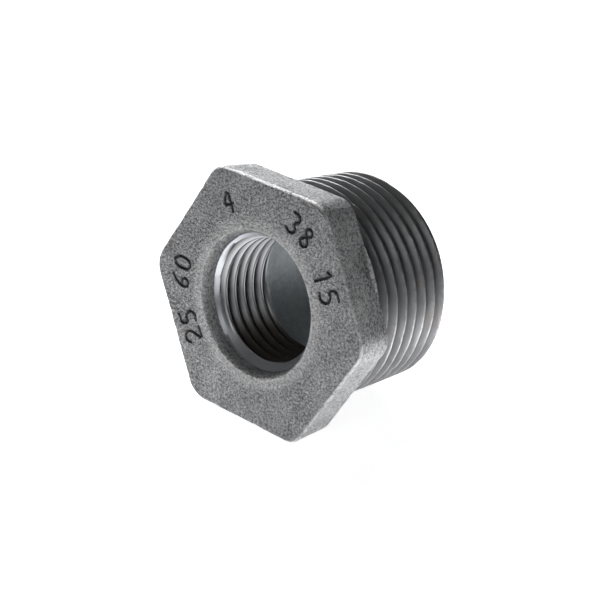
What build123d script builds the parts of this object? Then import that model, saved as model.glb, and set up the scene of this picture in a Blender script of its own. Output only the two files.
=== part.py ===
from build123d import *
import math
import os

# Cast iron hex bushing, 1 inch to 1/2 inch taper pipe thread, cast and turned as one piece.
# The axis is Y. The head's outer face lies on Y = 0 and the long thread runs towards +Y.
# The head has two flats level, across Z, and two corners on X. Lengths are in millimetres.

# Head, measured at its outer face
flats = 6
head_height = 6.5
head_across_flats = 37.1
head_draft = 4.2
head_corner_radius = 3.8
face_edge_chamfer = 0.45

# Turned shoulder behind the flats, and the neck where the thread tool runs out
shoulder_radius = 18.55
shoulder_thickness = 0.8
shoulder_front_chamfer = 0.5
neck_radius = 15.6
neck_length = 0.8

# Taper of both pipe threads: 1 in 16 on the diameter
thread_taper = 1 / 16

# Outside thread, 1 inch nominal, of 60 degree form with slightly worn crests
inch = 25.4
threads_per_inch = 11.5
thread_angle = 60
thread_crest_flat = 0.24
thread_length = 18.5
thread_end_radius = 16.2
thread_end_chamfer = 1.1

# Inside thread, 1/2 inch nominal: its taper hole at the crests, with the fine groove left out
tapped_radius = 9.3
tapped_length = 11.8

# Mouth: the cast lip's worn edge, its short wall, then a turned countersink
lip_radius = 11.4
lip_edge_depth = 0.45
lip_wall_radius = 10.75
lip_depth = 1.95
countersink_radius = 10.35
countersink_angle = 90

# Cored hollow behind the taper hole, drafted so that the core draws out at the thread end
core_radius = 10.9
core_step_angle = 90
core_draft = 1.5
core_end_chamfer = 0.5

# Worked out from the sizes above
total_length = head_height + thread_length
taper_slope = thread_taper / 2
taper_angle = math.degrees(math.atan(taper_slope))
pitch = inch / threads_per_inch
outer_face = Plane(origin=(0, 0, 0), x_dir=(1, 0, 0), z_dir=(0, 1, 0))


def crest_radius(y):
    # Radius over the outside thread's crests, at y from the outer face
    return thread_end_radius + (total_length - y) * taper_slope


def tapped_hole_radius(y):
    # Radius of the taper hole, at y from the outer face
    return tapped_radius - y * taper_slope


# Shank: a taper envelope, a V groove cut into it one turn at a time, and the neck at the head
with BuildPart() as shank:
    chamfer_start = total_length - thread_end_chamfer
    with BuildSketch():
        with BuildLine():
            Polyline(
                (0, head_height / 2),
                (crest_radius(head_height / 2), head_height / 2),
                (crest_radius(chamfer_start), chamfer_start),
                (thread_end_radius - thread_end_chamfer, total_length),
                (0, total_length),
                close=True,
            )
        make_face()
    revolve(axis=Axis.Y)

    # The groove starts inside the head's place and runs out past the thread's end
    half_gap = (pitch - thread_crest_flat) / 2
    flank_slope = math.tan(math.radians(thread_angle / 2))
    groove_depth = half_gap / flank_slope
    overcut = thread_crest_flat / 4
    groove_start = head_height - pitch
    for turn in range(math.ceil((thread_length + pitch * 3 / 2) / pitch)):
        y = groove_start + turn * pitch
        with BuildLine() as path:
            slant_pitch = pitch / math.cos(math.radians(taper_angle))
            Helix(slant_pitch, pitch, crest_radius(y), (0, y, 0), (0, 1, 0), -taper_angle)
        first = path.line @ 0
        with BuildSketch(Plane(first, x_dir=(first.X, 0, first.Z), z_dir=path.line % 0)) as groove:
            Polygon(
                (overcut / flank_slope, half_gap + overcut),
                (-groove_depth, 0),
                (overcut / flank_slope, -half_gap - overcut),
                align=None,
            )
        sweep(groove.sketch, path.line, is_frenet=True, mode=Mode.SUBTRACT)

    with BuildSketch(outer_face):
        Circle(crest_radius(0))
        Circle(neck_radius, mode=Mode.SUBTRACT)
    extrude(amount=head_height + neck_length, mode=Mode.SUBTRACT)

# Head: a round blank with six drafted flats, rounded corners, and a turned shoulder behind them
with BuildPart() as head:
    with BuildSketch(outer_face):
        Circle(head_across_flats)
    extrude(amount=head_height)
    for flat in range(flats):
        turn_angle = math.tau * (flat + 0.5) / flats
        draft_angle = math.radians(head_draft)
        outward = Vector(math.cos(turn_angle), math.tan(draft_angle), math.sin(turn_angle))
        foot = Vector(math.cos(turn_angle), 0, math.sin(turn_angle)) * head_across_flats / 2
        split(bisect_by=Plane(origin=foot, z_dir=outward), keep=Keep.BOTTOM)
    fillet(head.edges().group_by(Axis.Y)[1], radius=head_corner_radius)
    chamfer(head.edges().group_by(Axis.Y)[0], length=face_edge_chamfer)
    shoulder_start = head_height - shoulder_thickness
    with BuildSketch():
        with BuildLine():
            Polyline(
                (0, shoulder_start),
                (shoulder_radius - shoulder_front_chamfer, shoulder_start),
                (shoulder_radius, shoulder_start + shoulder_front_chamfer),
                (shoulder_radius, head_height),
                (0, head_height),
                close=True,
            )
        make_face()
    revolve(axis=Axis.Y)

# The finished casting: head and shank together, with the way through cut from end to end
with BuildPart() as hex_bushing:
    add(shank.part)
    add(head.part)

    # Taper hole, a step out, and the cored hollow up to its chamfered rim
    step_slope = math.tan(math.radians(core_step_angle / 2))
    step_end = tapped_length + (core_radius - tapped_hole_radius(tapped_length)) / step_slope
    core_end = total_length - core_end_chamfer
    core_end_radius = core_radius + (core_end - step_end) * math.tan(math.radians(core_draft))
    with BuildSketch():
        with BuildLine():
            Polyline(
                (0, 0),
                (tapped_hole_radius(0), 0),
                (tapped_hole_radius(tapped_length), tapped_length),
                (core_radius, step_end),
                (core_end_radius, core_end),
                (core_end_radius + core_end_chamfer, total_length),
                (0, total_length),
                close=True,
            )
        make_face()
    revolve(axis=Axis.Y, mode=Mode.SUBTRACT)

    # Mouth at the outer face: the lip falls to the countersink, which meets the taper hole
    sink_slope = math.tan(math.radians(countersink_angle / 2))
    sink_reach = countersink_radius + lip_depth * sink_slope - tapped_radius
    sink_end = sink_reach / (sink_slope - taper_slope)
    with BuildSketch():
        with BuildLine():
            Polyline(
                (0, 0),
                (lip_radius, 0),
                (lip_wall_radius, lip_edge_depth),
                (countersink_radius, lip_depth),
                (tapped_hole_radius(sink_end), sink_end),
                (0, sink_end),
                close=True,
            )
        make_face()
    revolve(axis=Axis.Y, mode=Mode.SUBTRACT)

hex_bushing.part.label = "hex_bushing"
os.makedirs("parts", exist_ok=True)
export_step(hex_bushing.part, "parts/hex_bushing.step")
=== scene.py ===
import math

import bmesh
import bpy
from mathutils import Matrix, Vector, noise


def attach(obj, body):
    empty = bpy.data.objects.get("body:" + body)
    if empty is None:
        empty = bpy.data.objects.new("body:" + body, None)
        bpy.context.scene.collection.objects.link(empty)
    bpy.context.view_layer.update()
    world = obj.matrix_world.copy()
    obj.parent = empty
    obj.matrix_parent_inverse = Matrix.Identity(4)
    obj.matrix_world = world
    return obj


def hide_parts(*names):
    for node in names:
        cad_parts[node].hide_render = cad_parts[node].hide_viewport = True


# A cast iron hex bushing: sand cast head, taper threads cut outside and inside, cored hollow.
# The casting is one closed mesh. It is spun about the Y axis in millimetres, its points are
# moved onto the hexagon, the threads and the wear, and it is brought to metres at the end.

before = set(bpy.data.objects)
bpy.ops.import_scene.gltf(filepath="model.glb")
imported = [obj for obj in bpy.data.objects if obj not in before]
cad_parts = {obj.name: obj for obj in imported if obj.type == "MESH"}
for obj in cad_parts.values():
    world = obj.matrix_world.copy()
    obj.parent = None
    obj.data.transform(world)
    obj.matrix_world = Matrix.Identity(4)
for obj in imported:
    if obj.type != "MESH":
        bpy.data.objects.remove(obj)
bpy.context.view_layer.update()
print("frame loaded")

metresPerMillimetre = 0.001
inch = 25.4
columns = 300  # points round every ring of the casting
sectors = 12  # a ring is spun as one sector and copied round
columnAngle = 2 * math.pi / columns
mergeDistance = 0.004
planeTolerance = 0.001  # how near a point counts as lying on a plane
taperSlope = 1 / 32
flankSlope = math.tan(math.radians(30))
flankShares = (0.05, 0.1, 0.5, 1)  # rows of a thread's flank, from the crest to the root
crestFall = 0.01  # how far a worn crest falls off beside its middle
rootSag = 0.02  # how far the middle of a root lies deeper

# The finishes, in the order of the casting's material slots
castSkin, turnedFace, cutThread, tappedBore, coredWall = range(5)

head = {
    "height": 6.5,
    "halfAcrossFlats": 18.54,  # at the outer face
    "draft": math.radians(4.2),
    "cornerRadius": 3.8,
    "faceEdge": 0.55,  # radius of the edge round the outer face
    "edgeRows": 6,
    "faceRows": 22,
    "sideRows": 10,
    "shoulderRadius": 18.5,
    "shoulderStart": 5.74,
    "shoulderFront": 0.46,  # how far its sloped front drops
    "shoulderWorn": 0.48,  # how far it is worn down
    "wornSides": (90, -30),  # round the axis, in degrees
    "wornReach": (14, 26),  # to both sides of those, in degrees
    "backEdge": 0.22,
    "backRows": 4,
    "neckRadius": 15.6,
    "neckFillet": 0.12,
    "neckEnd": 6.75,
    "neckGrowth": 0.3,  # length over which the thread grows out of the neck
}

mouth = {
    "lipRadius": 11.22,
    "lipDepth": 1.95,
    "lipRows": 9,
    "sinkRadius": 10.35,  # where the countersink starts, under the lip
}

shank = {
    "length": 25.0,
    "endChamfer": 1.1,
    "rimEdge": 0.14,
    "endRows": 5,
    "hollowRadius": 10.9,
    "hollowDraft": math.radians(1.5),
    "hollowRows": 14,
    "rimChamfer": 0.5,
}

outsideThread = {
    "pitch": inch / 11.5,
    "crest": 16.18 + shank["length"] * taperSlope,  # radius over the crests, at the outer face
    "crestFlat": 0.2,
    "rootFlat": 0.16,
    "phase": 8.14,  # place of one crest on the +X side
    "fadeStart": head["neckEnd"],
    "fadeIn": 0.9,  # length over which the groove grows to its depth
}

insideThread = {
    "pitch": inch / 14,
    "crest": 9.3,
    "crestFlat": 0.36,
    "rootFlat": 0.16,
    "phase": 2.6,
    "fadeStart": mouth["lipDepth"],
    "fadeIn": 1.4,
    "length": 11.8,
}


# Small helpers, in millimetres

def smoothStep(value, low, high):
    share = min(max((value - low) / (high - low), 0), 1)
    return share * share * (3 - 2 * share)


def rolling(point, size, seed):  # soft noise from about -1 to 1, with lumps of the given size
    return noise.noise(point / size + Vector((seed, 1.7 * seed, 0.3 * seed)))


def polar(point):
    return math.atan2(point.z, point.x), math.hypot(point.x, point.z)


def place(vert, angle, radius, y):
    vert.co = (radius * math.cos(angle), y, radius * math.sin(angle))


def snapAngle(angle):
    return round(angle / columnAngle) * columnAngle


def spinProfile(profile, pitch=0):  # (radius, y) points into a ring, or with a pitch into a screw
    ring = bmesh.new()
    chain = [ring.verts.new((radius, y, 0)) for radius, y in profile]
    edges = [ring.edges.new(pair) for pair in zip(chain, chain[1:])]
    sector = 2 * math.pi / sectors
    bmesh.ops.spin(
        ring, geom=chain + edges, cent=(0, 0, 0), axis=(0, 1, 0), angle=sector,
        steps=columns // sectors, dvec=(0, pitch / columns, 0),
    )
    bmesh.ops.spin(
        ring, geom=ring.verts[:] + ring.edges[:] + ring.faces[:], cent=(0, 0, 0),
        axis=(0, 1, 0), angle=2 * math.pi - sector, steps=sectors - 1,
        dvec=(0, pitch / sectors, 0), use_duplicate=True,
    )
    for vert in ring.verts:
        angle, radius = polar(vert.co)
        place(vert, snapAngle(angle), radius, vert.co.y)
    return ring


def paint(ring, finish):
    for face in ring.faces:
        face.material_index = finish


def join(casting, ring):
    shape = bpy.data.meshes.new("section")
    ring.to_mesh(shape)
    casting.from_mesh(shape)
    ring.free()
    bpy.data.meshes.remove(shape)


# The two threads: a worn 60 degree tooth, wound up the taper

def halfTooth(thread):  # from the crest's middle to the root's middle: place along the axis, depth
    flat = thread["crestFlat"] / 2
    deep = (thread["pitch"] - thread["crestFlat"] - thread["rootFlat"]) / 2 / flankSlope
    flank = [(flat + share * deep * flankSlope, share * deep) for share in flankShares]
    crest = [(0, 0), (flat * 0.7, crestFall)]
    return crest + flank + [(thread["pitch"] / 2, deep + rootSag)]


def crestAt(thread, y):
    return thread["crest"] - y * taperSlope


def threadDepth(thread, tooth, angle, y):
    pitch = thread["pitch"]
    along = (y - thread["phase"] + angle / (2 * math.pi) * pitch) % pitch
    along = min(along, pitch - along)
    for (near, shallow), (far, deep) in zip(tooth, tooth[1:]):
        if along <= far:
            depth = shallow + (deep - shallow) * (along - near) / (far - near)
            break
    return depth * smoothStep(y, thread["fadeStart"], thread["fadeStart"] + thread["fadeIn"])


def windThread(thread, tooth, low, high):  # rows that follow the helix, a turn past both ends
    pitch = thread["pitch"]
    first = math.floor((low - thread["phase"]) / pitch) - 1
    last = math.ceil((high - thread["phase"]) / pitch) + 1
    rows = [-along for along, depth in tooth[:0:-1]] + [along for along, depth in tooth[:-1]]
    profile = []
    for turn in range(first, last):
        for along in rows:
            profile.append((thread["crest"], thread["phase"] + turn * pitch + along))
    return spinProfile(profile, pitch)


outsideTooth = halfTooth(outsideThread)
insideTooth = halfTooth(insideThread)


def outsideRadius(angle, y):
    radius = crestAt(outsideThread, y) - threadDepth(outsideThread, outsideTooth, angle, y)
    endRadius = crestAt(outsideThread, shank["length"]) - shank["endChamfer"]
    radius = min(radius, endRadius + shank["length"] - y)
    grown = smoothStep(y, head["neckEnd"], head["neckEnd"] + head["neckGrowth"])
    return head["neckRadius"] + (radius - head["neckRadius"]) * grown


def insideRadius(angle, y):
    radius = crestAt(insideThread, y) + threadDepth(insideThread, insideTooth, angle, y)
    sink = mouth["sinkRadius"] + mouth["lipDepth"] - y
    step = crestAt(insideThread, insideThread["length"]) + y - insideThread["length"]
    return max(radius, sink, min(step, shank["hollowRadius"]))


def hollowStart():  # where the step out of the inside thread reaches the cored hollow
    endCrest = crestAt(insideThread, insideThread["length"])
    return insideThread["length"] + shank["hollowRadius"] - endCrest


def moveOntoThread(ring, radiusAt, low, high):
    for vert in ring.verts:
        angle = snapAngle(polar(vert.co)[0])
        y = min(max(vert.co.y, low), high)
        place(vert, angle, radiusAt(angle, y), y)


def addOutsideThread(casting):
    low, high = head["neckEnd"], shank["length"]
    ring = windThread(outsideThread, outsideTooth, low, high)
    moveOntoThread(ring, outsideRadius, low, high)
    paint(ring, cutThread)
    join(casting, ring)


def addInsideThread(casting):
    low, high = mouth["lipDepth"], hollowStart()
    ring = windThread(insideThread, insideTooth, low, high)
    moveOntoThread(ring, insideRadius, low, high)
    paint(ring, tappedBore)
    join(casting, ring)


# The head: spun as a round plate, then pushed out to the hexagon

def halfFlatsAt(y):
    return head["halfAcrossFlats"] - y * math.tan(head["draft"])


def hexRadius(angle, halfFlats, corner):  # axis to the outline of a hexagon with round corners
    half = math.radians(30)
    offNormal = abs(angle % (2 * half) - half)
    if halfFlats * math.tan(offNormal) <= (halfFlats - corner) * math.tan(half):
        return halfFlats / math.cos(offNormal)
    centre = (halfFlats - corner) / math.cos(half)
    offCorner = half - offNormal
    across = centre * math.sin(offCorner)
    return centre * math.cos(offCorner) + math.sqrt(corner ** 2 - across ** 2)


def outlineRadius(angle, y, inset):  # the head's side at a height, moved in by inset
    return hexRadius(angle, halfFlatsAt(y) - inset, head["cornerRadius"] - inset)


def addFaceAndSide(casting):
    edge = head["faceEdge"]
    rim = halfFlatsAt(edge) - edge
    lip = mouth["lipRadius"]
    step = (rim - lip) / head["faceRows"]
    profile = [(lip + row * step, 0) for row in range(head["faceRows"] + 1)]
    for row in range(1, head["edgeRows"] + 1):
        turn = math.radians(90) * row / head["edgeRows"]
        profile.append((rim + edge * math.sin(turn), edge * (1 - math.cos(turn))))
    rise = (head["shoulderStart"] - edge) / head["sideRows"]
    for row in range(1, head["sideRows"] + 1):
        y = edge + row * rise
        profile.append((halfFlatsAt(y), y))
    ring = spinProfile(profile)
    for vert in ring.verts:
        angle, radius = polar(vert.co)
        if radius <= rim:
            outline = outlineRadius(angle, edge, edge)
            radius = lip + (radius - lip) / (rim - lip) * (outline - lip)
        else:
            height = max(vert.co.y, edge)
            radius = outlineRadius(angle, height, max(halfFlatsAt(height) - radius, 0))
        place(vert, angle, radius, vert.co.y)
    paint(ring, castSkin)
    join(casting, ring)


def sideRadius(angle, y):  # the flats, or the turned shoulder where it stands out past them
    away = min(abs(math.degrees(angle) - side) for side in head["wornSides"])
    worn = head["shoulderWorn"] * (1 - smoothStep(away, *head["wornReach"]))
    shoulder = head["shoulderRadius"] - worn
    front = head["shoulderFront"]
    shoulder -= front * (1 - min((y - head["shoulderStart"]) / front, 1))
    edge = head["backEdge"]
    past = edge - (head["height"] - y)
    inset = edge - math.sqrt(edge ** 2 - past ** 2) if past > 0 else 0
    return max(outlineRadius(angle, y, inset), shoulder - inset)


def addShoulder(casting):  # from the flats' end round the shoulder, and over the back to the neck
    start, end = head["shoulderStart"], head["height"]
    front, edge = head["shoulderFront"], head["backEdge"]
    rises = [0, 0.15 * front, 0.4 * front, 0.7 * front, front]
    rises += [end - start - edge * (1 - share) for share in (0, 0.5, 0.85, 1)]
    neck, fillet = head["neckRadius"], head["neckFillet"]
    outer = head["shoulderRadius"]
    profile = [(outer, start + rise) for rise in rises]
    inner = neck + fillet
    for row in range(1, head["backRows"] + 1):
        profile.append((outer + (inner - outer) * row / head["backRows"], end))
    sag = 0.3 * fillet
    profile += [(neck + sag, end + sag), (neck, end + fillet), (neck, head["neckEnd"])]
    ring = spinProfile(profile)
    for vert in ring.verts:
        angle, radius = polar(vert.co)
        y = vert.co.y
        if radius > outer - mergeDistance:
            radius = sideRadius(angle, y)
        elif y < end + mergeDistance and radius > inner:
            share = (radius - inner) / (outer - inner)
            radius = inner + share * (sideRadius(angle, end) - inner)
        place(vert, angle, radius, y)
    for face in ring.faces:
        onBack = face.calc_center_median().y >= end - planeTolerance
        face.material_index = turnedFace if onBack else castSkin
    join(casting, ring)


def addLip(casting):  # the cast lip: a quarter round that ends where the countersink is cut
    rows = mouth["lipRows"]
    # spun with the rows' numbers as heights, then moved onto the lip
    ring = spinProfile([(mouth["lipRadius"] - row * 0.1, row) for row in range(rows + 1)])
    for vert in ring.verts:
        angle = polar(vert.co)[0]
        turn = math.radians(90) * round(vert.co.y) / rows
        inner = insideRadius(angle, mouth["lipDepth"])
        radius = inner + (mouth["lipRadius"] - inner) * (1 - math.sin(turn))
        place(vert, angle, radius, mouth["lipDepth"] * (1 - math.cos(turn)))
    paint(ring, castSkin)
    join(casting, ring)


def addHollow(casting):
    start, end = hollowStart(), shank["length"] - shank["rimChamfer"]
    grow = math.tan(shank["hollowDraft"])
    profile = []
    for row in range(shank["hollowRows"] + 1):
        y = start + (end - start) * row / shank["hollowRows"]
        profile.append((shank["hollowRadius"] + (y - start) * grow, y))
    ring = spinProfile(profile)
    paint(ring, coredWall)
    join(casting, ring)
    return profile[-1]


def addEndFace(casting, wall, start):  # the hollow's chamfered rim, and the ring round it
    rim, length = shank["rimEdge"], shank["length"]
    inner = wall + shank["rimChamfer"] + rim
    outer = crestAt(outsideThread, length) - shank["endChamfer"]
    profile = [(wall, start), (wall + rim, start + rim * 0.7)]
    profile.append((wall + shank["rimChamfer"] - rim, length - rim * 0.7))
    for row in range(shank["endRows"] + 1):
        profile.append((inner + (outer - inner) * row / shank["endRows"], length))
    ring = spinProfile(profile)
    for vert in ring.verts:
        angle, radius = polar(vert.co)
        if vert.co.y > length - mergeDistance and radius > inner:
            share = (radius - inner) / (outer - inner)
            radius = inner + share * (outsideRadius(angle, length) - inner)
        place(vert, angle, radius, vert.co.y)
    paint(ring, turnedFace)
    join(casting, ring)


def buildCasting():
    casting = bmesh.new()
    addFaceAndSide(casting)
    addShoulder(casting)
    addOutsideThread(casting)
    wall, start = addHollow(casting)
    addEndFace(casting, wall, start)
    addInsideThread(casting)
    addLip(casting)
    bmesh.ops.remove_doubles(casting, verts=casting.verts, dist=mergeDistance)
    bmesh.ops.recalc_face_normals(casting, faces=casting.faces)
    return casting


casting = buildCasting()
openEdges = sum(1 for edge in casting.edges if len(edge.link_faces) != 2)
print("casting spun:", len(casting.faces), "faces,", openEdges, "open edges")


# Plain numbers sunk in the outer face

numbers = {
    "depth": 0.3,
    "strokeWidth": 0.5,
    "height": 3.5,
    "digitWidth": 2.0,
    "gap": 0.9,
    "slope": (0.1, 0.62),  # of the groove's side, in stroke widths from its middle
    "fineMargin": 0.25,  # how far the finer mesh reaches past a stroke's width
    "lipMargin": 0.2,
    # digits, radius of the digits' middle, angle round the face
    "places": [
        ("4", 15.6, 119), ("38", 15.3, 63), ("15", 14.8, 29), ("60", 15.4, 180), ("25", 14.7, -148),
    ],
}

# The strokes of each digit, in a box one wide and one high, drawn with few points
digitStrokes = {
    "0": [
        (0.5, 1), (0.12, 0.82), (0.05, 0.5), (0.12, 0.18), (0.5, 0),
        (0.88, 0.18), (0.95, 0.5), (0.88, 0.82), (0.5, 1),
    ],
    "1": [(0.25, 0.78), (0.6, 1), (0.6, 0)],
    "2": [(0.05, 0.78), (0.3, 1), (0.75, 0.97), (0.95, 0.75), (0.8, 0.48), (0, 0), (1, 0.03)],
    "3": [
        (0.08, 0.92), (0.55, 1), (0.92, 0.78), (0.45, 0.54), (0.95, 0.28), (0.55, 0), (0.05, 0.1),
    ],
    "4": [(0.78, 0), (0.78, 1), (0, 0.34), (1, 0.34)],
    "5": [(0.92, 1), (0.18, 1), (0.08, 0.56), (0.6, 0.62), (0.95, 0.32), (0.55, 0), (0.05, 0.08)],
    "6": [(0.8, 1), (0.3, 0.72), (0.06, 0.3), (0.45, 0), (0.9, 0.24), (0.6, 0.5), (0.12, 0.4)],
    "8": [
        (0.5, 0.54), (0.1, 0.78), (0.5, 1), (0.9, 0.78), (0.5, 0.54),
        (0.05, 0.26), (0.5, 0), (0.95, 0.26), (0.5, 0.54),
    ],
}


def roundOff(points):  # cuts each corner of a stroke, once
    cut = [points[0]]
    for start, end in zip(points, points[1:]):
        cut += [start.lerp(end, 0.25), start.lerp(end, 0.75)]
    return cut + [points[-1]]


def numberStrokes():  # every stroke as a pair of points (x, z) on the face, with tops outward
    strokes = []
    for digits, radius, degrees in numbers["places"]:
        turn = math.radians(degrees)
        outward = Vector((math.cos(turn), math.sin(turn)))
        right = Vector((outward.y, -outward.x))
        step = numbers["digitWidth"] + numbers["gap"]
        for position, digit in enumerate(digits):
            left = step * (position - (len(digits) - 1) / 2) - numbers["digitWidth"] / 2
            points = []
            for across, up in digitStrokes[digit]:
                side = left + across * numbers["digitWidth"]
                rise = radius + (up - 0.5) * numbers["height"]
                points.append(right * side + outward * rise)
            points = roundOff(points)
            strokes += list(zip(points, points[1:]))
    return strokes


def strokeDistance(point, strokes):
    nearest = 99
    for start, end in strokes:
        line = end - start
        share = min(max((point - start).dot(line) / line.length_squared, 0), 1)
        nearest = min(nearest, (start + line * share - point).length)
    return nearest


def onFace(vert):
    offLip = polar(vert.co)[1] - mouth["lipRadius"]
    return vert.co.y < planeTolerance and offLip > numbers["lipMargin"]


def sinkNumbers(casting):
    strokes = numberStrokes()
    width = numbers["strokeWidth"]
    bottom, top = (share * width for share in numbers["slope"])
    reach = width + numbers["fineMargin"]
    faceVerts = [vert for vert in casting.verts if onFace(vert)]
    near = {vert for vert in faceVerts if strokeDistance(vert.co.xz, strokes) < reach}
    edges = [edge for edge in casting.edges if edge.verts[0] in near and edge.verts[1] in near]
    bmesh.ops.subdivide_edges(casting, edges=edges, cuts=2, use_grid_fill=True)
    for vert in casting.verts:
        if onFace(vert):
            distance = strokeDistance(vert.co.xz, strokes)
            sunk = 1 - smoothStep(distance, bottom, top)
            vert.co.y += numbers["depth"] * sunk
            vert[markLayer] = sunk


markLayer = casting.verts.layers.float.new("mark")
sinkNumbers(casting)
print("numbers sunk")

# Wear and the cast skin's unevenness, as small moves inwards

wear = {
    # depth, size of the lumps and seed of the noise
    "skinRoll": (0.05, 6, 3),
    "skinGrain": (0.035, 0.7, 8),
    "crestRoll": (0.05, 1.6, 5),
    # chipped edges: depth, share of the small chips, and both noises as size and seed
    "edgeChips": 0.13,
    "smallChips": 0.5,
    "chipNoise": (1.8, 21),
    "smallChipNoise": (0.7, 33),
    "onEdge": (0.3, 0.65),  # where edge wear starts and is full, in shares of the edge's width
    "offEdge": (0.3, 0.6),  # heights between which it fades out on the side
    "onCrest": (0.03, 0.24),  # thread depths between which crest wear fades out
    "nicks": [  # angle in degrees, place along the axis, size, depth
        (52, 9.1, 0.6, 0.22), (24, 9.0, 0.5, 0.2), (2, 8.1, 0.5, 0.2),
        (-8, 14.8, 0.5, 0.14), (30, 14.2, 0.6, 0.16), (14, 21.2, 0.5, 0.12),
        (40, 18.4, 0.5, 0.14), (70, 12.2, 0.6, 0.18), (-35, 17.1, 0.6, 0.18),
        (-60, 12.6, 0.5, 0.16), (115, 16.4, 0.6, 0.2), (150, 20.9, 0.5, 0.18),
        (200, 11.7, 0.6, 0.2), (250, 19.3, 0.5, 0.18),
    ],
}

# Where the metal is rubbed bare, where a highlight is painted round the lip, where shade is
# painted in the bore: how much, and the two distances between which it comes or goes
rubAndPaintedLight = {
    "edge": 1.3,
    # painted highlight: a lighter ring on the face round the lip
    "face": 0.6,
    "lipHighlightReach": (0.8, 2.2),  # out from the lip
    "lip": 0.9,
    "lipLine": 0.1,  # in from the lip's radius
    "lipReach": (0.1, 0.35),  # to both sides of that line
    "shoulder": 1.3,
    "shoulderRise": (0.02, 0.12),  # above the flats
    "sinkReach": (0.02, 0.1),  # from the countersink's cone
    # painted shade: the bore darker towards its bottom and deeper in its grooves
    "shadeRise": (-8.5, -1.5),  # across the axis, up from the bottom of the bore
    "shadeDepth": (0.2, 0.85),  # in the groove
    "shadeDulls": 0.15,
}


def edgeShare(point):  # 1 on the rounded edge of the face, 0 on the head's flat parts
    angle, radius = polar(point)
    edge = head["faceEdge"]
    outward = (radius - outlineRadius(angle, edge, edge)) / edge
    return smoothStep(outward, *wear["onEdge"]) * (1 - smoothStep(point.y, *wear["offEdge"]))


def skinRubAndHighlight(point):  # how far the cast skin is rubbed bare: its edges, its lip and the shoulder, with a painted highlight on the face round the lip
    angle, radius = polar(point)
    offLip = radius - mouth["lipRadius"]
    # painted highlight: a lighter ring on the face round the lip
    lipHighlight = 1 - smoothStep(offLip, *rubAndPaintedLight["lipHighlightReach"])
    onLip = 1 - smoothStep(abs(offLip + rubAndPaintedLight["lipLine"]), *rubAndPaintedLight["lipReach"])
    onShoulder = smoothStep(radius - outlineRadius(angle, point.y, 0), *rubAndPaintedLight["shoulderRise"])
    return max(
        rubAndPaintedLight["edge"] * edgeShare(point), rubAndPaintedLight["face"] * lipHighlight,
        rubAndPaintedLight["lip"] * onLip, rubAndPaintedLight["shoulder"] * onShoulder,
    )


def boreLayers(point):  # how bright the countersink is, and how much painted shade darkens the grooves and the bottom of the bore
    angle, radius = polar(point)
    # painted shade: darker towards the bottom of the bore
    bottomShade = 1 - smoothStep(point.z, *rubAndPaintedLight["shadeRise"])
    sink = mouth["sinkRadius"] + mouth["lipDepth"] - point.y
    onSink = 1 - smoothStep(abs(radius - sink), *rubAndPaintedLight["sinkReach"])
    depth = threadDepth(insideThread, insideTooth, angle, point.y)
    inGroove = smoothStep(depth, *rubAndPaintedLight["shadeDepth"])
    # the countersink's brightness is dulled by painted shade near the bottom
    return onSink * (1 - rubAndPaintedLight["shadeDulls"] * bottomShade), max(inGroove, bottomShade)


def skinDent(point):  # how far the cast skin lies in, by its roll, its grain and its chipped edges
    roll, rollSize, rollSeed = wear["skinRoll"]
    grain, grainSize, grainSeed = wear["skinGrain"]
    dent = roll * (1 + rolling(point, rollSize, rollSeed))
    dent += grain * rolling(point, grainSize, grainSeed)
    chips = max(rolling(point, *wear["chipNoise"]), 0)
    chips += wear["smallChips"] * max(rolling(point, *wear["smallChipNoise"]), 0)
    return dent + edgeShare(point) * wear["edgeChips"] * chips


def nickDepth(point):
    deepest = 0
    angle, radius = polar(point)
    for degrees, y, size, depth in wear["nicks"]:
        across = (angle - math.radians(degrees) + math.pi) % (2 * math.pi) - math.pi
        away = math.hypot(across * radius, point.y - y) / size
        if away < 1:
            deepest = max(deepest, depth * (1 - away * away))
    return deepest


def wearCasting(casting):
    casting.normal_update()
    rubAndLightLayer = casting.verts.layers.float.new("rubAndPaintedLight")
    # painted shade in the threads' grooves and towards the bottom of the bore
    shadeLayer = casting.verts.layers.float.new("paintedShade")
    moves = []
    crestRoll, crestSize, crestSeed = wear["crestRoll"]
    for vert in casting.verts:
        finishes = {face.material_index for face in vert.link_faces}
        inward = 0
        if finishes == {castSkin} or finishes == {coredWall}:
            vert[rubAndLightLayer] = skinRubAndHighlight(vert.co)
            if vert[markLayer] == 0:
                inward = skinDent(vert.co)
        elif finishes == {cutThread}:
            depth = threadDepth(outsideThread, outsideTooth, polar(vert.co)[0], vert.co.y)
            onCrest = 1 - smoothStep(depth, *wear["onCrest"])
            vert[rubAndLightLayer] = onCrest
            # painted shade, darker deeper in the groove
            vert[shadeLayer] = min(depth / outsideTooth[-1][1], 1)
            roll = crestRoll * (0.5 + rolling(vert.co, crestSize, crestSeed))
            inward = onCrest * (roll + nickDepth(vert.co))
        elif finishes == {tappedBore}:
            vert[rubAndLightLayer], vert[shadeLayer] = boreLayers(vert.co)
        moves.append(max(inward, 0))
    for vert, inward in zip(casting.verts, moves):
        vert.co -= vert.normal * inward


wearCasting(casting)
print("casting worn,", sum(len(face.verts) - 2 for face in casting.faces), "triangles")


# Shader helpers

def addNode(tree, kind, **settings):
    node = tree.nodes.new(kind)
    for name, value in settings.items():
        setattr(node, name, value)
    return node


def newGroup(name, inputs, outputs):
    tree = bpy.data.node_groups.new(name, "ShaderNodeTree")
    for label, value in inputs.items():
        kind = "NodeSocketColor" if isinstance(value, tuple) else "NodeSocketFloat"
        tree.interface.new_socket(label, in_out="INPUT", socket_type=kind).default_value = value
    for label, kind in outputs.items():
        tree.interface.new_socket(label, in_out="OUTPUT", socket_type=kind)
    return tree, addNode(tree, "NodeGroupInput").outputs, addNode(tree, "NodeGroupOutput").inputs


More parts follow.
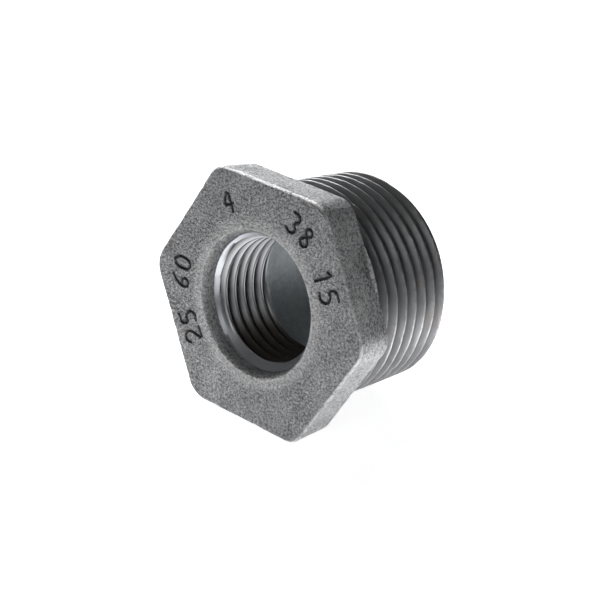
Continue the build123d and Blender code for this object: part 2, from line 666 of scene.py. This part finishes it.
def useGroup(tree, group, **values):
    node = addNode(tree, "ShaderNodeGroup", node_tree=group)
    for label, value in values.items():
        node.inputs[label.replace("_", " ")].default_value = value
    return node


def connect(tree, value, socket):  # a socket, or a plain value
    if isinstance(value, bpy.types.NodeSocket):
        tree.links.new(value, socket)
    else:
        socket.default_value = value


def noiseValue(tree, size, detail, roughness=0.5):  # its lumps' size in millimetres, or a socket
    coordinates = addNode(tree, "ShaderNodeTexCoord")
    texture = addNode(tree, "ShaderNodeTexNoise")
    connect(tree, coordinates.outputs["Object"], texture.inputs["Vector"])
    if isinstance(size, bpy.types.NodeSocket):
        scale = calculate(tree, "DIVIDE", 1 / metresPerMillimetre, size)
    else:
        scale = 1 / (size * metresPerMillimetre)
    connect(tree, scale, texture.inputs["Scale"])
    connect(tree, detail, texture.inputs["Detail"])
    connect(tree, roughness, texture.inputs["Roughness"])
    return texture.outputs["Fac"]


def calculate(tree, operation, first, second, third=None):
    node = addNode(tree, "ShaderNodeMath", operation=operation)
    connect(tree, first, node.inputs[0])
    connect(tree, second, node.inputs[1])
    if third is not None:
        connect(tree, third, node.inputs[2])
    return node.outputs[0]


def remap(tree, value, low, high, newLow=0.0, newHigh=1.0):
    node = addNode(tree, "ShaderNodeMapRange")
    for socket, given in zip(node.inputs, (value, low, high, newLow, newHigh)):
        connect(tree, given, socket)
    return node.outputs["Result"]


def mixColour(tree, share, first, second):
    node = addNode(tree, "ShaderNodeMix", data_type="RGBA")
    connect(tree, share, node.inputs[0])
    connect(tree, first, node.inputs[6])
    connect(tree, second, node.inputs[7])
    return node.outputs[2]


def readLayer(tree, name):
    return addNode(tree, "ShaderNodeAttribute", attribute_name=name).outputs["Fac"]


# The shared effects' noises, as detail and roughness, and the range of each that is used
effects = {
    "grainNoise": (3.0, 0.75),
    "grainRange": (0.36, 0.64),
    "grainShare": 0.55,
    "blotchShare": 0.45,
    "rubNoise": (3.0, 0.65),
    "rubRange": (0.3, 0.62),
    "rustNoise": (4.0, 0.7),
    "rustRange": (0.56, 0.72),
}


def makeSandGrain():  # the skin of a sand casting: crisp grains on soft blotches
    tree, given, put = newGroup(
        "sandGrain",
        {"Grain size": 0.5, "Blotch size": 5.0, "Contrast": 1.0},
        {"Height": "NodeSocketFloat", "Tone": "NodeSocketFloat"},
    )
    grain = noiseValue(tree, given["Grain size"], *effects["grainNoise"])
    blotch = noiseValue(tree, given["Blotch size"], 3.0)
    crisp = remap(tree, grain, *effects["grainRange"])
    connect(tree, crisp, put["Height"])
    tone = calculate(tree, "MULTIPLY", crisp, effects["grainShare"])
    tone = calculate(tree, "MULTIPLY_ADD", blotch, effects["blotchShare"], tone)
    tone = calculate(tree, "SUBTRACT", tone, 0.5)
    connect(tree, calculate(tree, "MULTIPLY_ADD", tone, given["Contrast"], 0.5), put["Tone"])
    return tree


def makeRubbedMetal():  # bare metal that shows where an edge or crest is rubbed, and the painted highlight round the lip
    tree, given, put = newGroup(
        "rubbedMetal",
        {
            "Color": (0.2, 0.2, 0.2, 1), "Bare color": (0.5, 0.5, 0.5, 1),
            "Rub": 0.0, "Amount": 1.0, "Patch size": 1.2,
        },
        {"Color": "NodeSocketColor", "Share": "NodeSocketFloat"},
    )
    patch = noiseValue(tree, given["Patch size"], *effects["rubNoise"])
    patch = remap(tree, patch, *effects["rubRange"])
    share = calculate(tree, "MULTIPLY", given["Rub"], patch)
    share = calculate(tree, "MULTIPLY", share, given["Amount"])
    share = calculate(tree, "MINIMUM", share, 1)
    connect(tree, share, put["Share"])
    connect(tree, mixColour(tree, share, given["Color"], given["Bare color"]), put["Color"])
    return tree


def makeRustTint():  # faint brown stains in patches
    tree, given, put = newGroup(
        "rustTint",
        {
            "Color": (0.2, 0.2, 0.2, 1), "Rust": (0.2, 0.11, 0.06, 1),
            "Amount": 0.3, "Patch size": 6.0,
        },
        {"Color": "NodeSocketColor"},
    )
    patch = noiseValue(tree, given["Patch size"], *effects["rustNoise"])
    patch = remap(tree, patch, *effects["rustRange"])
    share = calculate(tree, "MULTIPLY", patch, given["Amount"])
    connect(tree, mixColour(tree, share, given["Color"], given["Rust"]), put["Color"])
    return tree


sandGrain = makeSandGrain()
rubbedMetal = makeRubbedMetal()
rustTint = makeRustTint()

# What each finish looks like: base colours, sizes in millimetres, and the roughness at the
# dark and the light end of its tone. A noise is given as size, detail and roughness.
looks = {
    "castSkin": {
        "dark": (0.08, 0.082, 0.087, 1),
        "light": (0.57, 0.577, 0.588, 1),
        "bare": (0.76, 0.76, 0.76, 1),
        # the sunk numbers' fill: black oxide residue and painted shade in the recess
        "dirtAndShade": (0.025, 0.025, 0.026, 1),
        "metallic": 0.75,
        "ior": 2.0,
        "roughness": (0.44, 0.28),
        "grainSize": 0.38,
        "blotchSize": 4.0,
        "contrast": 1.55,
        "bareAmount": 1.0,
        "barePatch": 0.6,
        "rustAmount": 0.12,
        "rustPatch": 7.0,
        "bumpDepth": 0.12,
    },
    "turnedFace": {
        "dark": (0.45, 0.46, 0.48, 1),
        "light": (0.62, 0.635, 0.655, 1),
        "metallic": 0.85,
        "ior": 1.5,
        "roughness": (0.3, 0.45),
        "toneNoise": (1.5, 4.0),
        "bumpNoise": (0.5, 2.0),
        "bumpDepth": 0.01,
    },
    "cutThread": {
        "dark": (0.165, 0.169, 0.177, 1),
        "light": (0.33, 0.337, 0.349, 1),
        # painted shade deeper in the thread's grooves
        "root": (0.15, 0.153, 0.158, 1),
        "bare": (0.45, 0.455, 0.46, 1),
        "metallic": 0.6,
        "ior": 2.0,
        "roughness": (0.45, 0.3),  # unrubbed and bare
        "toneNoise": (2.5, 4.0, 0.6),
        "bareAmount": 0.8,
        "barePatch": 0.9,
        "rustAmount": 0.35,
        "rustPatch": 5.0,
        "bumpNoise": (0.35, 3.0, 0.6),
        "bumpDepth": 0.008,
    },
    "tappedBore": {
        "dark": (0.52, 0.535, 0.56, 1),
        "light": (0.74, 0.76, 0.79, 1),
        # painted shade in the bore's grooves and towards its bottom
        "dirtAndShade": (0.11, 0.1, 0.088, 1),
        "bright": (0.84, 0.865, 0.91, 1),  # the countersink
        "metallic": 0.85,
        "ior": 1.5,
        "roughness": (0.3, 0.42),
        "toneNoise": (1.5, 3.0),
        "bumpNoise": (0.4, 2.0),
        "bumpDepth": 0.008,
    },
    "coredWall": {
        "dark": (0.16, 0.184, 0.197, 1),
        "light": (0.39, 0.42, 0.44, 1),
        "metallic": 0.5,
        "ior": 1.5,
        "roughness": (0.55, 0.42),
        "grainSize": 0.9,
        "blotchSize": 5.0,
        "contrast": 0.4,
        "bumpDepth": 0.02,
    },
}
noiseRange = (0.3, 0.7)  # where nearly all of a noise's values lie


def newIron(name):
    material = bpy.data.materials.new(name)
    material.use_nodes = True
    tree = material.node_tree
    shader = tree.nodes["Principled BSDF"].inputs
    look = looks[name]
    shader["Metallic"].default_value = look["metallic"]
    shader["IOR"].default_value = look["ior"]
    return material, tree, shader, look


def addBump(tree, shader, height, look):
    bump = addNode(tree, "ShaderNodeBump")
    bump.inputs["Distance"].default_value = look["bumpDepth"] * metresPerMillimetre
    connect(tree, height, bump.inputs["Height"])
    connect(tree, bump.outputs["Normal"], shader["Normal"])


def addGrain(tree, look):
    return useGroup(
        tree, sandGrain, Grain_size=look["grainSize"], Blotch_size=look["blotchSize"],
        Contrast=look["contrast"],
    ).outputs


def rubBare(tree, colour, look):  # bare metal where the mesh's layer of rubbing says so, and the painted highlight round the lip
    rubbed = useGroup(
        tree, rubbedMetal, Bare_color=look["bare"], Amount=look["bareAmount"],
        Patch_size=look["barePatch"],
    )
    connect(tree, colour, rubbed.inputs["Color"])
    connect(tree, readLayer(tree, "rubAndPaintedLight"), rubbed.inputs["Rub"])
    return rubbed.outputs


def stain(tree, colour, look):
    stained = useGroup(tree, rustTint, Amount=look["rustAmount"], Patch_size=look["rustPatch"])
    connect(tree, colour, stained.inputs["Color"])
    return stained.outputs["Color"]


def makeCastSkin():
    material, tree, shader, look = newIron("castSkin")
    grain = addGrain(tree, look)
    colour = mixColour(tree, grain["Tone"], look["dark"], look["light"])
    rubbed = rubBare(tree, colour, look)
    # sunk numbers darkened: black oxide residue and painted shade in the recess
    marked = mixColour(tree, readLayer(tree, "mark"), rubbed["Color"], look["dirtAndShade"])
    connect(tree, stain(tree, marked, look), shader["Base Color"])
    connect(tree, remap(tree, grain["Tone"], 0, 1, *look["roughness"]), shader["Roughness"])
    addBump(tree, shader, grain["Height"], look)
    return material


def makeTurnedFace():
    material, tree, shader, look = newIron("turnedFace")
    tone = noiseValue(tree, *look["toneNoise"])
    connect(tree, mixColour(tree, tone, look["dark"], look["light"]), shader["Base Color"])
    connect(tree, remap(tree, tone, *noiseRange, *look["roughness"]), shader["Roughness"])
    addBump(tree, shader, noiseValue(tree, *look["bumpNoise"]), look)
    return material


def makeCutThread():
    material, tree, shader, look = newIron("cutThread")
    tone = noiseValue(tree, *look["toneNoise"])
    colour = mixColour(tree, tone, look["dark"], look["light"])
    # painted shade: darker towards the root colour deeper in the groove
    deep = mixColour(tree, readLayer(tree, "paintedShade"), colour, look["root"])
    rubbed = rubBare(tree, deep, look)
    connect(tree, stain(tree, rubbed["Color"], look), shader["Base Color"])
    connect(tree, remap(tree, rubbed["Share"], 0, 1, *look["roughness"]), shader["Roughness"])
    addBump(tree, shader, noiseValue(tree, *look["bumpNoise"]), look)
    return material


def makeTappedBore():
    material, tree, shader, look = newIron("tappedBore")
    tone = noiseValue(tree, *look["toneNoise"])
    colour = mixColour(tree, tone, look["dark"], look["light"])
    # painted shade: darker in the grooves and towards the bottom of the bore
    deep = mixColour(tree, readLayer(tree, "paintedShade"), colour, look["dirtAndShade"])
    # the countersink brighter, dulled by painted shade near the bottom
    bright = mixColour(tree, readLayer(tree, "rubAndPaintedLight"), deep, look["bright"])
    connect(tree, bright, shader["Base Color"])
    connect(tree, remap(tree, tone, *noiseRange, *look["roughness"]), shader["Roughness"])
    addBump(tree, shader, noiseValue(tree, *look["bumpNoise"]), look)
    return material


def makeCoredWall():
    material, tree, shader, look = newIron("coredWall")
    grain = addGrain(tree, look)
    colour = mixColour(tree, grain["Tone"], look["dark"], look["light"])
    connect(tree, colour, shader["Base Color"])
    connect(tree, remap(tree, grain["Tone"], 0, 1, *look["roughness"]), shader["Roughness"])
    addBump(tree, shader, grain["Height"], look)
    return material


def finishCasting(casting):
    bmesh.ops.scale(casting, verts=casting.verts, vec=(metresPerMillimetre,) * 3)
    shape = bpy.data.meshes.new("bushing_casting")
    casting.to_mesh(shape)
    casting.free()
    shape.polygons.foreach_set("use_smooth", [True] * len(shape.polygons))
    shape.set_sharp_from_angle(angle=math.radians(42))
    for makeFinish in (makeCastSkin, makeTurnedFace, makeCutThread, makeTappedBore, makeCoredWall):
        shape.materials.append(makeFinish())
    bushing = bpy.data.objects.new("bushing_casting", shape)
    bpy.context.scene.collection.objects.link(bushing)
    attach(bushing, "root")
    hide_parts("hex_bushing")


finishCasting(casting)
print("finishes on")

# The studio: a white table that meets the shoulder and the thread's end, as the bushing lies

studio = {
    "tilt": math.radians(7.5),  # between the table and the bushing's axis
    "tableLevel": -19.22,  # millimetres from the outer face's centre, square to the table
    "tableSize": 3000,
    "tableColour": (0.9, 0.9, 0.9, 1),
    "tableGlow": (0.89, 1.0),  # as seen by the camera, at the bushing and far away
    "tableGlowReach": (80, 400),  # millimetres from the bushing
    "tableMirror": (1.0, 0.25),  # as seen in the metal, likewise
    "tableMirrorReach": (42, 95),
    "world": 0.06,
    # lamps: name, direction from the bushing, distance, width, height (millimetres), watts
    "lamps": [
        ("keyLamp", (-0.85, 0.38, 0.58), 700, 560, 560, 5.9),
        ("frontLamp", (0.3, -0.85, 0.36), 650, 200, 200, 0.33),
    ],
    # a spot that lights the table beside the bushing and misses the bushing itself
    "spotPlace": (37, 12, 330),
    "spotCone": math.radians(5.4),
    "spotBlend": 0.8,
    "spotWatts": 29,
}


def tableUp():
    return Vector((0, -math.sin(studio["tilt"]), math.cos(studio["tilt"])))


def makeTableMaterial():  # white as seen and mirrored, and clear from below
    material = bpy.data.materials.new("whiteTable")
    material.use_nodes = True
    tree = material.node_tree
    shader = tree.nodes["Principled BSDF"]
    shader.inputs["Base Color"].default_value = studio["tableColour"]
    shader.inputs["Roughness"].default_value = 0.7
    shader.inputs["Emission Color"].default_value = (1, 1, 1, 1)
    rays = addNode(tree, "ShaderNodeLightPath").outputs
    mirrored = calculate(tree, "MAXIMUM", rays["Is Glossy Ray"], rays["Is Transmission Ray"])
    away = addNode(tree, "ShaderNodeVectorMath", operation="LENGTH")
    connect(tree, addNode(tree, "ShaderNodeTexCoord").outputs["Object"], away.inputs[0])
    away = calculate(tree, "DIVIDE", away.outputs["Value"], metresPerMillimetre)
    mirror = remap(tree, away, *studio["tableMirrorReach"], *studio["tableMirror"])
    mirrored = calculate(tree, "MULTIPLY", mirrored, mirror)
    seen = remap(tree, away, *studio["tableGlowReach"], *studio["tableGlow"])
    glow = calculate(tree, "MULTIPLY_ADD", rays["Is Camera Ray"], seen, mirrored)
    connect(tree, glow, shader.inputs["Emission Strength"])
    behind = addNode(tree, "ShaderNodeNewGeometry").outputs["Backfacing"]
    clear = calculate(tree, "MULTIPLY", behind, rays["Is Camera Ray"])
    mix = addNode(tree, "ShaderNodeMixShader")
    connect(tree, clear, mix.inputs[0])
    connect(tree, shader.outputs["BSDF"], mix.inputs[1])
    connect(tree, addNode(tree, "ShaderNodeBsdfTransparent").outputs[0], mix.inputs[2])
    connect(tree, mix.outputs[0], tree.nodes["Material Output"].inputs["Surface"])
    return material


def addTable():
    sheet = bmesh.new()
    bmesh.ops.create_grid(sheet, x_segments=1, y_segments=1, size=studio["tableSize"] / 2)
    turn = Matrix.Rotation(studio["tilt"], 3, "X")
    bmesh.ops.rotate(sheet, verts=sheet.verts, cent=(0, 0, 0), matrix=turn)
    bmesh.ops.translate(sheet, verts=sheet.verts, vec=tableUp() * studio["tableLevel"])
    bmesh.ops.scale(sheet, verts=sheet.verts, vec=(metresPerMillimetre,) * 3)
    shape = bpy.data.meshes.new("table")
    sheet.to_mesh(shape)
    sheet.free()
    shape.materials.append(makeTableMaterial())
    table = bpy.data.objects.new("table", shape)
    bpy.context.scene.collection.objects.link(table)


def addWorld():
    world = bpy.data.worlds.new("studio")
    bpy.context.scene.world = world
    world.use_nodes = True
    tree = world.node_tree
    rays = addNode(tree, "ShaderNodeLightPath").outputs
    strength = remap(tree, rays["Is Camera Ray"], 0, 1, studio["world"], 1)
    background = tree.nodes["Background"].inputs
    background["Color"].default_value = (1, 1, 1, 1)
    connect(tree, strength, background["Strength"])


def addLamps():
    for name, direction, distance, width, height, watts in studio["lamps"]:
        data = bpy.data.lights.new(name, "AREA")
        data.shape = "RECTANGLE"
        data.size = width * metresPerMillimetre
        data.size_y = height * metresPerMillimetre
        data.energy = watts
        lamp = bpy.data.objects.new(name, data)
        position = Vector(direction).normalized() * distance * metresPerMillimetre
        turn = position.to_track_quat("Z", "Y").to_matrix().to_4x4()
        lamp.matrix_world = Matrix.Translation(position) @ turn
        lamp.visible_camera = False
        bpy.context.scene.collection.objects.link(lamp)


def addTableSpot():
    data = bpy.data.lights.new("tableSpot", "SPOT")
    data.spot_size = studio["spotCone"]
    data.spot_blend = studio["spotBlend"]
    data.energy = studio["spotWatts"]
    lamp = bpy.data.objects.new("tableSpot", data)
    lamp.matrix_world = Matrix.Translation(Vector(studio["spotPlace"]) * metresPerMillimetre)
    bpy.context.scene.collection.objects.link(lamp)


addTable()
addWorld()
addLamps()
addTableSpot()

cameraPlace = {
    "aim": (-0.84, 10.88, -1.77),  # millimetres, on the line of sight
    "azimuth": math.radians(40.82),
    "elevation": math.radians(21.03),
    "roll": math.radians(6.96),
    "distance": 275.4,
    "lens": 110.5,
}


def addCamera():
    data = bpy.data.cameras.new("camera")
    data.lens = cameraPlace["lens"]
    data.sensor_width = 36
    data.clip_start = 0.01
    data.clip_end = 20
    camera = bpy.data.objects.new("camera", data)
    azimuth, elevation = cameraPlace["azimuth"], cameraPlace["elevation"]
    back = Vector((
        math.sin(azimuth) * math.cos(elevation),
        -math.cos(azimuth) * math.cos(elevation),
        math.sin(elevation),
    ))
    position = Vector(cameraPlace["aim"]) + back * cameraPlace["distance"]
    turn = back.to_track_quat("Z", "Y").to_matrix().to_4x4()
    roll = Matrix.Rotation(cameraPlace["roll"], 4, "Z")
    camera.matrix_world = Matrix.Translation(position * metresPerMillimetre) @ turn @ roll
    bpy.context.scene.collection.objects.link(camera)
    bpy.context.scene.camera = camera


addCamera()
bpy.context.scene.view_settings.view_transform = "Standard"
print("studio and camera set")
